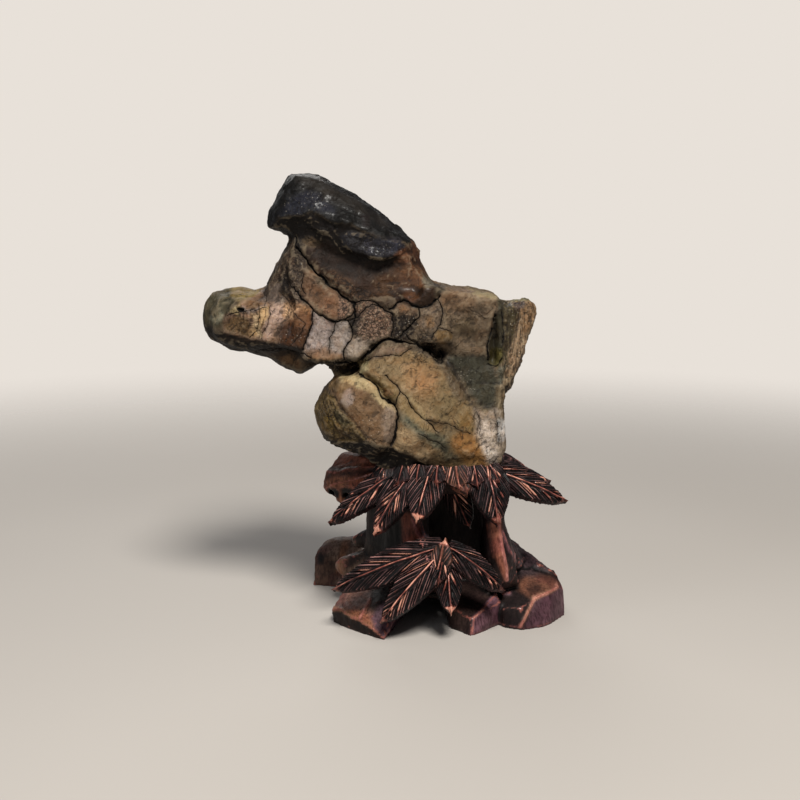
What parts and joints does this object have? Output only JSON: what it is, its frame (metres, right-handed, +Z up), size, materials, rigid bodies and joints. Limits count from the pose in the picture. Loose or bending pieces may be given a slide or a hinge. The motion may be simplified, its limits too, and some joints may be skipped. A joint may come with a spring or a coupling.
{
  "type": "scholar's rock on a carved stand",
  "caption": "Weathered natural stone with a dark slab of a cap, standing in a wooden stand carved as rocks, trunks and leaves, for display on a desk or shelf.",
  "frame": {"origin": "on the ground, under the middle of the whole object's box", "axes": "+Z up; -Y is the front, the side with the spray of leaves; +X is to the right of the rock as the front is looked at, so the snout points to -X"},
  "size_m": [0.212, 0.1308, 0.2573],
  "materials": {
    "stone": "hand-polished natural stone, brown and ochre with dark fissures and a black cap, softly waxed",
    "carved_wood": "near-black lacquer rubbed through to a coppery red-brown on the carved edges, semi-gloss"
  },
  "bodies": {
    "root": {"rock": "stone", "stand": "carved_wood"}
  },
  "joints": []
}
